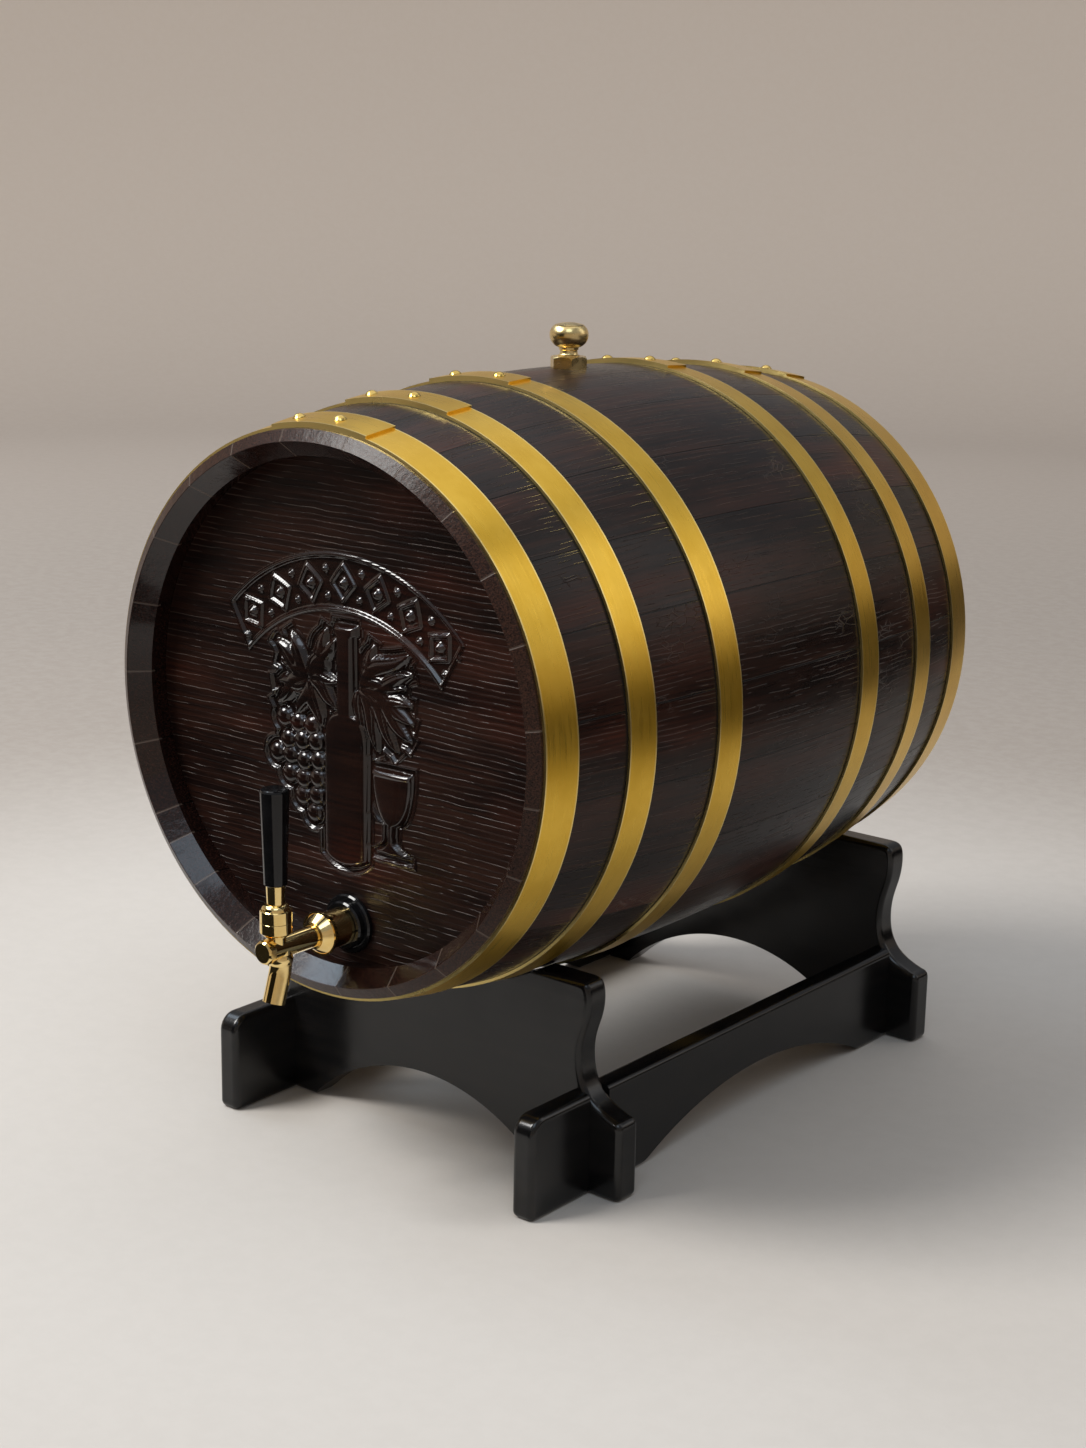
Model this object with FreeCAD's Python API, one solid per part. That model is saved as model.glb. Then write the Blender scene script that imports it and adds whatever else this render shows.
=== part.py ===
# Oak cask liquor dispenser: a coopered cask with brass hoops, a lever tap and a screw bung,
# lying in a cross-lapped stand of two cradle boards and two rails.
# Millimetres. +Z is up, the cask's axis runs along Y and the tap faces -Y.
# Shapes are drawn about the middle of the cask and moved to the row's origin when they are saved.
import FreeCAD, Part
import math
import os

V = FreeCAD.Vector
X_AXIS = V(1, 0, 0)
Y_AXIS = V(0, 1, 0)
Z_AXIS = V(0, 0, 1)

# Cask
cask_length = 420.0
belly_radius = 169.4
end_radius = 151.0
cask_axis_height = 264.7
belly_thickness = 18.0
# Staves of mixed width, as a cooper fits them: how many in a row, and their width as an angle
stave_runs = ((1, 17.6), (4, 14.45), (1, 16.1), (5, 15.14), (4, 15.4),
              (1, 11.2), (1, 7.3), (3, 16.3), (2, 16.95), (2, 14.9))
# Chime: the staves' ends, with a narrow bevel outside and a wide one inside
outer_bevel = 4.0
crown_radius = 145.5
inner_bevel = 11.0
bevel_inner_radius = 137.0
howel_radius = 138.5
# Heads: flat boards held by their thinned edge in a groove, the croze
head_recess = 23.0
head_thickness = 15.0
head_board_count = 5
croze_depth = 5.0
croze_width = 6.0
croze_slope = 3.0
croze_play = 0.2

# Hoops: flat brass bands, lapped and riveted at the top
hoop_thickness = 1.5
hoop_seat = 0.06
end_hoop_width = 21.5
end_hoop_middle = 193.75
quarter_hoop_width = 19.2
quarter_hoop_middle = 138.0
bilge_hoop_width = 19.1
bilge_hoop_middle = 69.15
lap_start = -12.5
lap_ends = {"front_end": 12.5, "front_quarter": 13.3, "front_bilge": 7.2,
            "rear_end": 10.5, "rear_quarter": 12.0, "rear_bilge": 9.0}
rivet_angles = (-8.6, 2.2)
rivet_head_radius = 3.6
rivet_head_height = 2.1
rivet_shank_radius = 1.4
rivet_play = 0.05

# Bung: a threaded bush in the top stave, closed by a screw plug with a round knob
bung_bore_radius = 6.0
bush_radius = 9.5
bush_length = 21.0
bush_hex_across = 19.2
bush_hex_height = 7.0
bush_hex_chamfer = 1.3
bush_hex_turn = 18.0
spot_face_radius = 12.0
spot_face_depth = 0.35
plug_spigot_length = 13.0
plug_spigot_play = 0.08
plug_flange_radius = 6.3
plug_flange_height = 0.7
plug_neck_radius = 5.0
plug_neck_height = 3.4
plug_bead_radius = 5.7
plug_bead_height = 1.1
knob_radius = 11.2
knob_middle = 12.2
knob_height = 19.2
knob_lip_radius = 8.9
knob_lip_height = 17.3
knob_lip_step = 0.5
spigot_chamfer = 0.8
seal_height = 1.8
seal_depth = 1.4
seal_thickness = 1.1
seal_play = 0.05

# Tap, on the front head below the middle
tap_side_offset = 5.0
tap_drop = 116.7
shank_radius = 8.0
shank_bore_radius = 5.0
shank_inner_reach = 12.0
shank_grip = 3.0
head_seal_radius = 16.5
head_seal_thickness = 3.2
shank_seal_radius = 13.4
shank_seal_thickness = 3.8
nut_radius = 10.3
nut_barrel = 13.0
rose_radius = 12.2
rose_rise = 3.2
rose_rim = 1.0
rose_lip = 0.9
rose_step = 0.3
rose_cone = 4.7
rose_front_radius = 7.3
body_collar_radius = 6.9
body_collar_width = 1.0
body_collar_gap = 0.25
thread_play = 0.05
washer_play = 0.1
seal_edge = 0.9
nut_edge = 0.5
tail_washer_thickness = 1.5
tail_flange_thickness = 2.6
tail_flange_radius = 7.8
body_radius = 6.0
body_bore_radius = 3.3
body_front = 61.5
cap_sides = 8
cap_across = 12.2
cap_thickness = 4.8
cap_chamfer = 1.3
cap_spigot_length = 1.2
riser_distance = 56.0
riser_neck_radius = 5.2
riser_neck_height = 6.7
riser_flange_radius = 6.4
riser_flange_slope = 0.7
riser_boss_radius = 5.6
riser_bore_radius = 4.15
riser_bore_start = 2.0
spout_radius = 6.0
spout_bore_radius = 4.4
spout_distance = 53.0
spout_drop = 8.5
spout_bend_radius = 25.0
spout_lean = 17.5
spout_straight = 14.2
knuckle_radius = 6.7
knuckle_drop = 6.2
inner_washer_thickness = 2.5
inner_washer_radius = 15.0
lock_nut_across = 24.0
lock_nut_thickness = 6.5

# Lever: ball, stem and collar in one, with a ferrule and a black grip above
pivot_rise = 6.6
ball_radius = 4.0
tip_radius = 1.6
tail_radius = 1.2
stem_radius = 1.9
lever_tilt = 25.0
slot_play = 0.35
ball_play = 0.2
collar_radius = 8.6
collar_chamfer = 1.2
collar_edge = 0.5
bonnet_bottom = 8.3
collar_top = 22.0
dome_radius = 12.0
dome_gap = 0.2
ferrule_foot_radius = 7.6
ferrule_foot_height = 3.0
ferrule_bottom_radius = 4.8
ferrule_top_radius = 5.2
ferrule_height = 13.2
grip_bottom_radius = 6.2
grip_top_radius = 7.8
grip_height = 52.0
grip_edge = 1.4
stud_length = 33.0
stud_end_gap = 1.0
ball_seat_thickness = 0.8
ball_seat_bore = 3.2

# Valve: a rod moved by the lever's tail, with a washer that shuts against the body
rod_radius = 1.9
rod_fit = 0.02
eye_radius = 3.2
eye_half_length = 4.2
eye_slot_half_width = 1.75
eye_slot_half_length = 1.9
eye_step = 1.4
eye_wall = 1.1
seat_washer_radius = 4.4
seat_washer_thickness = 2.2
seat_washer_play = 0.1
rod_head_radius = 2.6
rod_head_length = 1.2

# Stand: two boards across, two rails along, halved over each other
board_thickness = 17.0
front_board_face = -119.7
rear_board_face = 192.0
foot_half_width = 140.5
foot_height = 46.0
foot_corner = 5.0
toe_corner = 4.0
# Pulls of the flank's curves: out of the foot's top, into the waist, and from the waist to the horn
foot_lift = 0.6
foot_pull = 12.0
foot_pull_rise = 5.0
waist_pull = 22.0
horn_pull_share = 0.42
horn_pull_in = 3.0
horn_pull_drop = 1.5
waist_half_width = 111.0
waist_height = 78.0
horn_half_width = 117.4
horn_curve_height = 11.5
front_horn_drop = 143.2
rear_horn_drop = 137.7
horn_round = 9.5
board_arch_half_width = 90.2
board_arch_height = 38.5
cradle_gap = 0.3
rail_thickness = 14.4
rail_inner_offset = 105.6
rail_height = 58.5
rail_front_overhang = 49.5
rail_corner = 10.5
rail_arch_margin = 31.0
rail_arch_height = 28.0
lap_play = 0.05
lap_height = 29.0
edge_round = 3.5

# How far cutters run past the faces they cut, and pieces of one solid into each other
cut_margin = 1.0
join_depth = 1.0
size_tolerance = 0.01
# Slope of the cone that takes the corners off a nut
nut_chamfer_angle = 40.0

half_length = cask_length / 2
end_drop = belly_radius - end_radius
stave_arc_radius = (half_length ** 2 + end_drop ** 2) / (2 * end_drop)
head_face = half_length - head_recess
head_back = head_face - head_thickness
croze_back = head_face - croze_width - croze_slope
belly_inner_radius = belly_radius - belly_thickness
cask_top = cask_axis_height + belly_radius
tap_axis_height = cask_axis_height - tap_drop
bush_seat = cask_top - spot_face_depth
cap_face = head_face + body_front + cap_thickness
rear_board_back = rear_board_face + board_thickness
rear_reach = max(half_length, rear_board_back)
row_shift = (cap_face - rear_reach) / 2


def outer_radius(y):
    """Radius of the staves' outer face at a distance y from the middle."""
    return belly_radius - stave_arc_radius + math.sqrt(stave_arc_radius ** 2 - y ** 2)


def save(name, shape):
    moved = shape.copy()
    moved.translate(V(0, row_shift, 0))
    moved.exportStep("parts/%s.step" % name)


def line(a, b):
    return Part.LineSegment(a, b).toShape()


def arc(a, b, c):
    return Part.Arc(a, b, c).toShape()


def bezier(*poles):
    curve = Part.BezierCurve()
    curve.setPoles(list(poles))
    return curve.toShape()


def dome_arc(rim_radius, rim_height, top_height):
    """Arc from a rim to the top of a dome whose centre is on the axis, in the XZ plane."""
    rise = top_height - rim_height
    radius = (rim_radius ** 2 + rise ** 2) / (2 * rise)
    half = math.asin(rim_radius / radius) / 2
    middle = V(radius * math.sin(half), 0, top_height - radius + radius * math.cos(half))
    return arc(V(rim_radius, 0, rim_height), middle, V(0, 0, top_height))


def side_arc(widest, end):
    """Arc in the XZ plane that leaves the widest point upright and runs in to its end."""
    inset = widest.x - end.x
    rise = end.z - widest.z
    radius = (inset ** 2 + rise ** 2) / (2 * inset)
    half = math.atan2(rise, radius - inset) / 2
    middle = V(widest.x - radius + radius * math.cos(half), 0, widest.z + radius * math.sin(half))
    return arc(widest, middle, end)


def polygon_face(points):
    return Part.Face(Part.makePolygon(points + [points[0]]))


def cylinder(radius, start, direction, length):
    return Part.makeCylinder(radius, length, start, direction)


def box(low, high):
    return Part.makeBox(high[0] - low[0], high[1] - low[1], high[2] - low[2], V(*low))


def prism_bar(sides, across, start, direction, length, turn=0.0):
    """Bar with flat sides, whose width across the flats is given."""
    corner = across / 2 / math.cos(math.pi / sides)
    points = []
    for k in range(sides):
        angle = math.radians(360 / sides * k + turn)
        points.append(V(corner * math.cos(angle), corner * math.sin(angle), 0))
    bar = polygon_face(points).extrude(V(0, 0, length))
    bar.Placement = FreeCAD.Placement(start, FreeCAD.Rotation(Z_AXIS, direction))
    return bar


def chamfered_bar(sides, across, start, direction, length, chamfer, turn=0.0):
    """Bar with flat sides whose far end is turned to a blunt cone."""
    corner = across / 2 / math.cos(math.pi / sides)
    drop = (chamfer + cut_margin) * math.tan(math.radians(nut_chamfer_angle))
    cone = turned([(0, 0), (corner + cut_margin, 0), (corner + cut_margin, length - drop),
                   (corner - chamfer, length), (0, length)], start, direction)
    return prism_bar(sides, across, start, direction, length, turn).common(cone)


def turned(points, centre, direction):
    """Solid of revolution from (radius, distance along the axis) points."""
    profile = polygon_face([V(r, 0, d) for r, d in points])
    solid = profile.revolve(V(0, 0, 0), Z_AXIS, 360)
    solid.Placement = FreeCAD.Placement(centre, FreeCAD.Rotation(Z_AXIS, direction))
    return solid


def ring(outer, inner, start, direction, length):
    return turned([(inner, 0), (outer, 0), (outer, length), (inner, length)], start, direction)


# Staves

def stave_section():
    """Lengthwise section of a stave, standing above the cask's axis."""
    z = cask_axis_height
    belly_inner = z + belly_inner_radius
    groove_radius = howel_radius + croze_depth
    edge = half_length - outer_bevel
    bevel_end = half_length - inner_bevel

    def at(y, r):
        return V(0, y, z + r)

    half = [(bevel_end, bevel_inner_radius), (head_face, howel_radius), (head_face, groove_radius),
            (head_face - croze_width, groove_radius), (croze_back, howel_radius)]
    front = [at(-half_length, crown_radius)] + [at(-y, r) for y, r in half]
    rear = [at(half_length, crown_radius)] + [at(y, r) for y, r in half]
    edges = [line(front[k], front[k + 1]) for k in range(len(front) - 1)]
    edges.append(arc(front[-1], V(0, 0, belly_inner), rear[-1]))
    edges += [line(rear[k], rear[k - 1]) for k in range(len(rear) - 1, 0, -1)]
    edges.append(line(rear[0], at(edge, outer_radius(edge))))
    edges.append(arc(at(edge, outer_radius(edge)), at(0, belly_radius), at(-edge, outer_radius(edge))))
    edges.append(line(at(-edge, outer_radius(edge)), front[0]))
    return Part.Face(Part.Wire(edges))


def make_staves():
    section = stave_section()
    axis_point = V(0, 0, cask_axis_height)
    widths = [width for count, width in stave_runs for k in range(count)]
    whole = sum(widths)
    angle = -widths[0] / whole * 180
    staves = []
    for width in widths:
        share = width / whole * 360
        start = section.copy()
        start.rotate(axis_point, Y_AXIS, angle)
        staves.append(start.revolve(axis_point, Y_AXIS, share))
        angle += share
    bush_hole = cylinder(bush_radius + thread_play, axis_point, Z_AXIS, belly_radius + cut_margin)
    spot_face = cylinder(spot_face_radius, V(0, 0, bush_seat), Z_AXIS, spot_face_depth + cut_margin)
    staves[0] = staves[0].cut(bush_hole).cut(spot_face)
    return staves


# Heads

def make_head(side, tap_hole):
    """Head disc with its edge thinned for the croze, sawn into boards that lie across."""
    groove_radius = howel_radius + croze_depth - croze_play
    inner = howel_radius - croze_play
    thick = croze_width - croze_play
    disc = turned([(0, 0), (groove_radius, 0), (groove_radius, thick),
                   (inner, thick + croze_slope), (inner, head_thickness), (0, head_thickness)],
                  V(0, side * head_face, cask_axis_height), V(0, -side, 0))
    if tap_hole:
        disc = disc.cut(cylinder(shank_radius + thread_play,
                                 V(tap_side_offset, -half_length, tap_axis_height), Y_AXIS, half_length))
    board_width = 2 * groove_radius / head_board_count
    low = cask_axis_height - groove_radius
    reach = groove_radius + cut_margin
    y_low = min(side * head_face, side * head_back) - cut_margin
    y_high = y_low + head_thickness + 2 * cut_margin
    boards = []
    for k in range(head_board_count):
        bottom = low + k * board_width - (cut_margin if k == 0 else 0)
        top = low + (k + 1) * board_width + (cut_margin if k == head_board_count - 1 else 0)
        saw = box((-reach, y_low, bottom), (reach, y_high, top))
        boards.append(disc.common(saw).Solids[0])
    return Part.makeCompound(boards)


# Hoops and rivets

def hoop_section(middle, width, low, high):
    """Slightly conical band between two distances from the staves' outer face."""
    y1 = middle - width / 2
    y2 = middle + width / 2

    def at(y, rise):
        return V(0, y, cask_axis_height + outer_radius(y) + rise)

    edges = [arc(at(y1, low), at(middle, low), at(y2, low)), line(at(y2, low), at(y2, high)),
             arc(at(y2, high), at(middle, high), at(y1, high)), line(at(y1, high), at(y1, low))]
    return Part.Face(Part.Wire(edges))


def rivet_frame(middle, angle):
    """Point on the staves and outward direction for a rivet on the middle of a hoop."""
    slope = -middle / math.sqrt(stave_arc_radius ** 2 - middle ** 2)
    outward = V(0, -slope, 1).normalize()
    turn = FreeCAD.Rotation(Y_AXIS, angle)
    point = turn.multVec(V(0, middle, outer_radius(middle))) + V(0, 0, cask_axis_height)
    return point, turn.multVec(outward)


def make_rivet(point, outward):
    """Round head on the lap, with a shank through both layers of the hoop."""
    seat = 2 * hoop_thickness + hoop_seat + rivet_play
    top = V(0, 0, seat + rivet_head_height)
    rim = V(rivet_head_radius, 0, seat)
    foot = 2 * hoop_seat + rivet_play
    edges = [dome_arc(rivet_head_radius, seat, top.z), line(rim, V(rivet_shank_radius, 0, seat)),
             line(V(rivet_shank_radius, 0, seat), V(rivet_shank_radius, 0, foot)),
             line(V(rivet_shank_radius, 0, foot), V(0, 0, foot)), line(V(0, 0, foot), top)]
    rivet = Part.Face(Part.Wire(edges)).revolve(V(0, 0, 0), Z_AXIS, 360)
    rivet.Placement = FreeCAD.Placement(point, FreeCAD.Rotation(Z_AXIS, outward))
    return rivet


def make_hoop(middle, width, lap_end):
    """Band with its lapped end and the two rivets through it."""
    axis_point = V(0, 0, cask_axis_height)
    band = hoop_section(middle, width, hoop_seat, hoop_seat + hoop_thickness).revolve(axis_point, Y_AXIS, 360)
    lap = hoop_section(middle, width, hoop_seat + hoop_thickness / 2, hoop_seat + 2 * hoop_thickness)
    lap.rotate(axis_point, Y_AXIS, lap_start)
    hoop = band.fuse(lap.revolve(axis_point, Y_AXIS, lap_end - lap_start))
    rivets = []
    for angle in rivet_angles:
        point, outward = rivet_frame(middle, angle)
        hole_start = point - outward * cut_margin
        hole_depth = hoop_seat + 2 * hoop_thickness + 2 * cut_margin
        hoop = hoop.cut(cylinder(rivet_shank_radius, hole_start, outward, hole_depth))
        rivets.append(make_rivet(point, outward))
    return hoop.Solids[0], rivets


# Bung

def make_bush():
    foot = V(0, 0, bush_seat - bush_length)
    hexagonal = chamfered_bar(6, bush_hex_across, V(0, 0, bush_seat), Z_AXIS, bush_hex_height,
                              bush_hex_chamfer, bush_hex_turn)
    tube = cylinder(bush_radius, foot, Z_AXIS, bush_length)
    bore = cylinder(bung_bore_radius, foot - Z_AXIS * cut_margin, Z_AXIS,
                    bush_length + bush_hex_height + 2 * cut_margin)
    return hexagonal.fuse(tube).cut(bore).Solids[0], bush_seat + bush_hex_height


def make_plug(seat):
    """Screw plug: spigot with a seal groove, flange, waisted neck, bead and flattened ball."""
    spigot = bung_bore_radius - plug_spigot_play
    groove = bung_bore_radius - seal_play - seal_thickness
    groove_low = -seal_depth - seal_height
    bead_low = plug_neck_height + knob_lip_step
    bead_top = bead_low + plug_bead_height
    waist = plug_neck_radius
    chamfer_top = spigot_chamfer - plug_spigot_length

    def at(r, z):
        return V(r, 0, seat + z)

    bead = at(plug_bead_radius, bead_top)
    widest = at(knob_radius, knob_middle)
    lip = at(knob_lip_radius, knob_lip_height)
    step = at(knob_lip_radius - knob_lip_step, knob_lip_height)
    rim = at(knob_lip_radius - knob_lip_step, knob_lip_height + knob_lip_step)
    outline = [line(at(0, -plug_spigot_length), at(spigot - spigot_chamfer, -plug_spigot_length)),
               line(at(spigot - spigot_chamfer, -plug_spigot_length), at(spigot, chamfer_top)),
               line(at(spigot, chamfer_top), at(spigot, groove_low)),
               line(at(spigot, groove_low), at(groove, groove_low)),
               line(at(groove, groove_low), at(groove, groove_low + seal_height)),
               line(at(groove, groove_low + seal_height), at(spigot, groove_low + seal_height)),
               line(at(spigot, groove_low + seal_height), at(spigot, 0)),
               line(at(spigot, 0), at(plug_flange_radius, 0)),
               line(at(plug_flange_radius, 0), at(plug_flange_radius, plug_flange_height)),
               bezier(at(plug_flange_radius, plug_flange_height), at(waist, plug_flange_height),
                      at(waist, plug_neck_height)),
               line(at(waist, plug_neck_height), at(plug_bead_radius, bead_low)),
               line(at(plug_bead_radius, bead_low), bead),
               side_arc(widest, bead), side_arc(widest, lip), line(lip, step), line(step, rim),
               dome_arc(rim.x, rim.z, seat + knob_height),
               line(at(0, knob_height), at(0, -plug_spigot_length))]
    plug = Part.Face(Part.Wire(outline)).revolve(V(0, 0, 0), Z_AXIS, 360)
    seal = ring(bung_bore_radius - seal_play, groove + seal_play, at(0, groove_low + seal_play), Z_AXIS,
                seal_height - 2 * seal_play)
    return plug, seal


# Tap. Distances run forward, towards -Y, from the front head's face

tap_x = tap_side_offset
tap_z = tap_axis_height
pivot_z = tap_z + pivot_rise
FORWARD = V(0, -1, 0)


def tap_point(distance, rise=0.0):
    return V(tap_x, -(head_face + distance), tap_z + rise)


nut_start = head_seal_thickness + shank_seal_thickness
shank_end = nut_start + shank_grip
tail_start = shank_end + tail_washer_thickness
tail_end = tail_start + tail_flange_thickness
rose_start = nut_start + nut_barrel + rose_rise
nut_end = rose_start + rose_rim + rose_cone
thread_bore = shank_radius + thread_play


def make_shank():
    start = tap_point(-head_thickness - shank_inner_reach)
    length = head_thickness + shank_inner_reach + shank_end
    return ring(shank_radius, shank_bore_radius, start, FORWARD, length)


def make_seals():
    bore = thread_bore + washer_play
    soft = seal_edge

    def cushion(radius, thickness, start):
        return turned([(bore, 0), (radius - soft / 3, 0), (radius, soft / 2), (radius, thickness - soft),
                       (radius - soft, thickness), (bore, thickness)], tap_point(start), FORWARD)

    return (cushion(head_seal_radius, head_seal_thickness, 0),
            cushion(shank_seal_radius, shank_seal_thickness, head_seal_thickness))


def make_coupling_nut():
    """Brass nut on the shank, flared to a thin rim and closed in front by a cone."""
    hole = body_radius + thread_play
    wall = tail_end + washer_play - nut_start
    flare = nut_barrel + rose_rise
    lip = flare + rose_rim
    front = lip + rose_cone
    return turned([(thread_bore, 0), (nut_radius - nut_edge, 0), (nut_radius, nut_edge), (nut_radius, nut_barrel),
                   (rose_radius - nut_edge, flare - nut_edge / 2), (rose_radius, flare), (rose_radius, lip),
                   (rose_radius - rose_lip, lip), (rose_radius - rose_lip, lip - rose_step),
                   (rose_front_radius, front), (hole, front), (hole, wall), (thread_bore, wall)],
                  tap_point(nut_start), FORWARD)


def spout_solid(radius, extra=0.0):
    """Tube down from the body, bent forward to the mouth."""
    top = tap_point(spout_distance)
    drop = cylinder(radius, top, -Z_AXIS, spout_drop)
    start = tap_point(spout_distance, -spout_drop)
    centre = tap_point(spout_distance + spout_bend_radius, -spout_drop)
    disc = Part.Face(Part.Wire(Part.makeCircle(radius, start, Z_AXIS)))
    bend = disc.revolve(centre, X_AXIS, -spout_lean)
    end = FreeCAD.Rotation(X_AXIS, -spout_lean).multVec(start - centre) + centre
    lean = math.radians(spout_lean)
    down = V(0, -math.sin(lean), -math.cos(lean))
    mouth = cylinder(radius, end, down, spout_straight + extra)
    return [drop, bend, mouth]


def make_tap_body():
    tail = cylinder(tail_flange_radius, tap_point(tail_start), FORWARD, tail_flange_thickness)
    barrel = cylinder(body_radius, tap_point(tail_start), FORWARD, body_front - tail_start)
    collar = cylinder(body_collar_radius, tap_point(nut_end + body_collar_gap), FORWARD, body_collar_width)
    knuckle = Part.makeSphere(knuckle_radius, tap_point(spout_distance, -knuckle_drop))
    riser = turned([(0, 0), (riser_neck_radius, 0), (riser_neck_radius, riser_neck_height),
                    (riser_flange_radius, riser_neck_height + riser_flange_slope),
                    (riser_flange_radius, bonnet_bottom),
                    (riser_boss_radius, bonnet_bottom), (riser_boss_radius, pivot_rise + ball_radius),
                    (0, pivot_rise + ball_radius)],
                   tap_point(riser_distance), Z_AXIS)
    body = barrel.fuse([tail, collar, riser, knuckle] + spout_solid(spout_radius))
    bore = cylinder(body_bore_radius, tap_point(tail_start - cut_margin), FORWARD,
                    body_front - tail_start + 2 * cut_margin)
    riser_bore = cylinder(riser_bore_radius, tap_point(riser_distance, riser_bore_start), Z_AXIS,
                          pivot_rise + ball_radius)
    return body.cut([bore, riser_bore] + spout_solid(spout_bore_radius, cut_margin)).Solids[0]


def make_front_cap():
    """Eight-sided plug with a chamfered face, closing the body's front."""
    bar = chamfered_bar(cap_sides, cap_across, tap_point(body_front), FORWARD, cap_thickness, cap_chamfer,
                        180 / cap_sides)
    spigot = cylinder(body_bore_radius - thread_play, tap_point(body_front - cap_spigot_length), FORWARD,
                      cap_spigot_length + join_depth)
    return bar.fuse(spigot).Solids[0]


def lever_sweep():
    """Room for the lever's stem from upright to fully forward, with a little play."""
    radius = stem_radius + slot_play
    pivot = tap_point(riser_distance, pivot_rise)
    reach = 2 * dome_radius
    forward = math.radians(lever_tilt)
    fan = polygon_face([pivot - V(radius, 0, 0), pivot + V(-radius, 0, reach),
                        pivot + V(-radius, -reach * math.sin(forward), reach * math.cos(forward))])
    upright = cylinder(radius, pivot, Z_AXIS, reach)
    leaning = cylinder(radius, pivot, V(0, -math.sin(forward), math.cos(forward)), reach)
    return fan.extrude(V(2 * radius, 0, 0)).fuse([upright, leaning])


def make_bonnet():
    """Ring nut that keeps the lever's ball down, domed about the ball's centre."""
    pivot = tap_point(riser_distance, pivot_rise)
    base = tap_point(riser_distance, bonnet_bottom)
    height = pivot_rise + dome_radius - bonnet_bottom + cut_margin
    ring_bar = turned([(0, 0), (collar_radius - collar_chamfer, 0), (collar_radius, collar_chamfer),
                       (collar_radius, height), (0, height)], base, Z_AXIS)
    dome = Part.makeSphere(dome_radius, pivot)
    thread_depth = pivot_rise + ball_radius + ball_play - bonnet_bottom
    thread = cylinder(riser_boss_radius + thread_play, base, Z_AXIS, thread_depth)
    return ring_bar.common(dome).cut([thread, lever_sweep()]).Solids[0]


def make_lever():
    """Ball lever: tail and tip below the ball, stem, domed collar and threaded stud above."""
    pivot = tap_point(riser_distance, pivot_rise)
    tip = tap_point(riser_distance)
    ball = Part.makeSphere(ball_radius, pivot)
    end = Part.makeSphere(tip_radius, tip)
    tail = cylinder(tail_radius, tip, Z_AXIS, pivot_rise)
    height = collar_top - bonnet_bottom
    blank = turned([(0, 0), (collar_radius, 0), (collar_radius, height - collar_edge),
                    (collar_radius - collar_edge, height), (0, height)],
                   tap_point(riser_distance, bonnet_bottom), Z_AXIS)
    collar = blank.cut(Part.makeSphere(dome_radius + dome_gap, pivot))
    stem = cylinder(stem_radius, pivot, Z_AXIS, collar_top + stud_length - pivot_rise)
    return ball.fuse([end, tail, stem, collar]).Solids[0]


def make_grip():
    """Ferrule and black grip, both bored for the lever's stud."""
    start = tap_point(riser_distance, collar_top)
    stud_bore = stem_radius + thread_play
    foot = V(ferrule_foot_radius, 0, 0)
    waist = V(ferrule_bottom_radius, 0, ferrule_foot_height)
    rim = V(ferrule_top_radius, 0, ferrule_height)
    edges = [line(V(stud_bore, 0, 0), foot), side_arc(foot, waist), line(waist, rim),
             line(rim, V(stud_bore, 0, ferrule_height)), line(V(stud_bore, 0, ferrule_height), V(stud_bore, 0, 0))]
    ferrule = Part.Face(Part.Wire(edges)).revolve(V(0, 0, 0), Z_AXIS, 360)
    ferrule.translate(start)
    bore_depth = stud_length + stud_end_gap - ferrule_height
    shoulder = grip_height - grip_edge
    grip = turned([(stud_bore, 0), (grip_bottom_radius - nut_edge, 0), (grip_bottom_radius, nut_edge),
                   (grip_top_radius, shoulder), (grip_top_radius - grip_edge / 3, shoulder + grip_edge * 2 / 3),
                   (grip_top_radius - grip_edge, grip_height), (0, grip_height), (0, bore_depth),
                   (stud_bore, bore_depth)],
                  start + V(0, 0, ferrule_height), Z_AXIS)
    return ferrule, grip


def make_valve():
    """Rod with a slotted eye for the lever's tip, and the washer that shuts on the body's tail."""
    washer_end = tail_start - seat_washer_play
    washer_start = washer_end - seat_washer_thickness
    rod_start = washer_start - rod_head_length
    rod = cylinder(rod_radius, tap_point(rod_start), FORWARD, riser_distance - rod_start)
    head = cylinder(rod_head_radius, tap_point(rod_start), FORWARD, rod_head_length)
    eye = cylinder(eye_radius, tap_point(riser_distance - eye_half_length), FORWARD, 2 * eye_half_length)
    centre = tap_point(riser_distance)
    width = eye_slot_half_width
    reach = eye_radius + cut_margin
    low_slot = box((centre.x - width, centre.y - eye_slot_half_length, centre.z - reach),
                   (centre.x + width, centre.y + eye_slot_half_length, centre.z + reach))
    high_slot = box((centre.x - width, centre.y - eye_half_length - cut_margin, centre.z + eye_step),
                    (centre.x + width, centre.y + eye_half_length - eye_wall, centre.z + reach))
    shaft = rod.fuse([head, eye]).cut([low_slot, high_slot]).Solids[0]
    washer = ring(seat_washer_radius, rod_radius + rod_fit, tap_point(washer_start), FORWARD,
                  seat_washer_thickness)
    return shaft, washer


def make_inside_fixings():
    """Soft washer and lock nut that clamp the shank from inside the cask."""
    washer_start = -head_thickness
    washer = ring(inner_washer_radius, thread_bore + washer_play, tap_point(washer_start), Y_AXIS,
                  inner_washer_thickness)
    nut_seat = tap_point(washer_start - inner_washer_thickness)
    nut = prism_bar(6, lock_nut_across, nut_seat, Y_AXIS, lock_nut_thickness)
    nut = nut.cut(cylinder(thread_bore, nut_seat - Y_AXIS * cut_margin, Y_AXIS,
                           lock_nut_thickness + 2 * cut_margin))
    return washer, nut


def make_ball_seat():
    top = pivot_rise - math.sqrt(ball_radius ** 2 - ball_seat_bore ** 2) - thread_play
    start = tap_point(riser_distance, top - ball_seat_thickness)
    return ring(riser_bore_radius - thread_play, ball_seat_bore, start, Z_AXIS, ball_seat_thickness)


# Stand

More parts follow.
